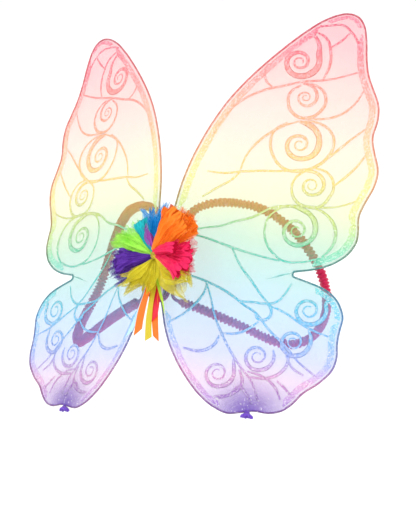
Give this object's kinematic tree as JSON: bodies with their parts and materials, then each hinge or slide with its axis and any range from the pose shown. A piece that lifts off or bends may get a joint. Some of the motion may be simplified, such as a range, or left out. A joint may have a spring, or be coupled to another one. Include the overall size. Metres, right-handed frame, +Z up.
{
  "type": "fairy wings",
  "caption": "Dress-up fairy wings: glittered rainbow stocking stretched on bent wire, hinged at a padded spine with a tulle rosette, hanging ribbons and gathered shoulder straps.",
  "frame": {"origin": "centre of the back pad's wearer-side face", "axes": "+Y towards the wearer, -Y the decorated side, +Z up the spine, +X to the right seen from behind the wearer"},
  "size_m": [0.432, 0.1641, 0.4888],
  "materials": {
    "frame_wire": "drawn steel wire, 2 mm",
    "stocking": "sheer dip-dyed nylon stocking, red at the tips through peach, yellow and mint to lavender",
    "stocking_purple": "gathered violet stocking",
    "glitter": "raised glitter glue lines",
    "binding_thread": "wound sewing thread",
    "felt": "pressed wool felt",
    "board": "stiff white board",
    "wadding": "covered wadding",
    "tape": "woven tape",
    "elastic": "woven elastic",
    "strap_satin": "gathered crimson satin",
    "tulle_blue": "stiff blue tulle",
    "tulle_turquoise": "turquoise tulle",
    "tulle_lilac": "lilac tulle",
    "tulle_lime": "lime tulle",
    "tulle_purple": "purple tulle",
    "tulle_yellow": "yellow-olive tulle",
    "tulle_orange": "orange tulle",
    "tulle_crimson": "crimson tulle",
    "tulle_pink": "pale pink tulle",
    "satin_orange": "orange satin ribbon",
    "satin_pale_blue": "pale blue satin ribbon",
    "satin_yellow": "yellow-olive satin ribbon",
    "satin_red": "red satin ribbon",
    "satin_lime": "lime satin ribbon"
  },
  "bodies": {
    "hub": {"back_pad": "felt", "spine_board": "board", "spine_cushion": "wadding", "upper_root_binding": "binding_thread", "middle_root_binding": "binding_thread", "lower_root_binding": "binding_thread", "right_upper_strap_keeper": "tape", "right_lower_strap_keeper": "tape", "left_upper_strap_keeper": "tape", "left_lower_strap_keeper": "tape", "rosette_base": "felt", "centre_tie": "binding_thread", "blue_tulle": "tulle_blue", "lime_tulle": "tulle_lime", "purple_tulle": "tulle_purple", "yellow_tulle_left": "tulle_yellow", "yellow_tulle_right": "tulle_yellow", "orange_tulle_back": "tulle_orange", "turquoise_tulle": "tulle_turquoise", "lilac_tulle": "tulle_lilac", "orange_tulle_loops": "tulle_orange", "crimson_tulle": "tulle_crimson", "lime_tulle_front": "tulle_lime", "purple_tulle_front": "tulle_purple", "yellow_tulle_centre": "tulle_yellow", "pink_tulle": "tulle_pink"},
    "right_wing": {"right_wing_wire": "frame_wire", "right_wing_membrane": "stocking", "right_stocking_knot": "stocking_purple", "right_knot_thread": "binding_thread"},
    "right_strap": {"right_strap_cover": "strap_satin", "right_strap_elastic": "elastic"},
    "left_wing": {"left_wing_wire": "frame_wire", "left_wing_membrane": "stocking", "left_stocking_knot": "stocking_purple", "left_knot_thread": "binding_thread"},
    "left_strap": {"left_strap_cover": "strap_satin", "left_strap_elastic": "elastic"},
    "ribbons": {"pale_blue_ribbon": "satin_pale_blue", "orange_ribbon_right": "satin_orange", "red_ribbon": "satin_red", "yellow_ribbon": "satin_yellow", "orange_ribbon_left": "satin_orange", "lime_ribbon": "satin_lime"}
  },
  "joints": [
    {"name": "right_wing_fold", "type": "hinge", "parent": "hub", "child": "right_wing", "pos_m": [0.004, -0.017, 0], "axis": [0, 0, -1], "range_deg": [-3, 60], "deforming": ["orange_tulle_back", "orange_tulle_loops", "crimson_tulle", "yellow_tulle_right", "pink_tulle", "lilac_tulle", "red_ribbon", "lime_ribbon", "orange_ribbon_right", "yellow_ribbon"]},
    {"name": "left_wing_fold", "type": "hinge", "parent": "hub", "child": "left_wing", "pos_m": [-0.004, -0.017, 0], "axis": [0, 0, 1], "range_deg": [-3, 60], "deforming": ["blue_tulle", "lime_tulle", "purple_tulle", "yellow_tulle_left", "turquoise_tulle", "lime_tulle_front", "purple_tulle_front", "yellow_tulle_centre", "pale_blue_ribbon", "orange_ribbon_left"]},
    {"name": "right_strap_swing", "type": "hinge", "parent": "hub", "child": "right_strap", "pos_m": [0.018, -0.0044, 0], "axis": [0, 0, 1], "range_deg": [-2, 35], "stiffness_Nm_per_rad": 0.01},
    {"name": "left_strap_swing", "type": "hinge", "parent": "hub", "child": "left_strap", "pos_m": [-0.018, -0.0044, 0], "axis": [0, 0, -1], "range_deg": [-2, 35], "stiffness_Nm_per_rad": 0.01},
    {"name": "ribbon_swing", "type": "hinge", "parent": "hub", "child": "ribbons", "pos_m": [0.005, -0.027, -0.0072], "axis": [-1, 0, 0], "range_deg": [-5, 45]}
  ]
}
